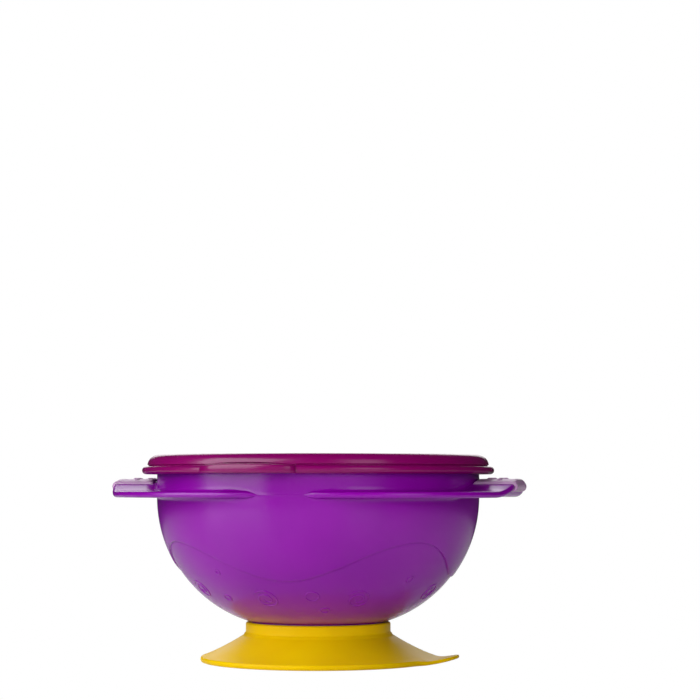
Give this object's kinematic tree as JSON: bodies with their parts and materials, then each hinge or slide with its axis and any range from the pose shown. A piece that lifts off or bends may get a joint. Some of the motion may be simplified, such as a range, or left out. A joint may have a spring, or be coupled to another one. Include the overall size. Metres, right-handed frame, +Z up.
{
  "type": "suction bowl",
  "caption": "Lidded baby bowl with two wing handles and soft grips, held by its foot in the collar of a suction-cup base with a release tab.",
  "frame": {"origin": "on the table, under the middle of the suction base", "axes": "+Z up along the bowl's axis, X through the two handles with the release tab at +X, and the lid's pull tab near -Y"},
  "size_m": [0.1788, 0.1574, 0.089],
  "materials": {
    "soft_base": "satin thermoplastic elastomer",
    "bowl_plastic": "semi-translucent moulded polypropylene",
    "soft_grip": "clear soft thermoplastic elastomer",
    "lid_plastic": "flexible glossy polyethylene"
  },
  "bodies": {
    "suction_base": {"suction_base": "soft_base"},
    "bowl": {"bowl": "bowl_plastic", "grip_left": "soft_grip", "grip_right": "soft_grip"},
    "lid": {"lid": "lid_plastic"}
  },
  "joints": [
    {"name": "bowl_lift", "type": "slide", "parent": "suction_base", "child": "bowl", "axis": [0, 0, 1], "range_m": [0, 0.04]},
    {"name": "lid_lift", "type": "slide", "parent": "bowl", "child": "lid", "axis": [0, 0, 1], "range_m": [0, 0.05]}
  ]
}
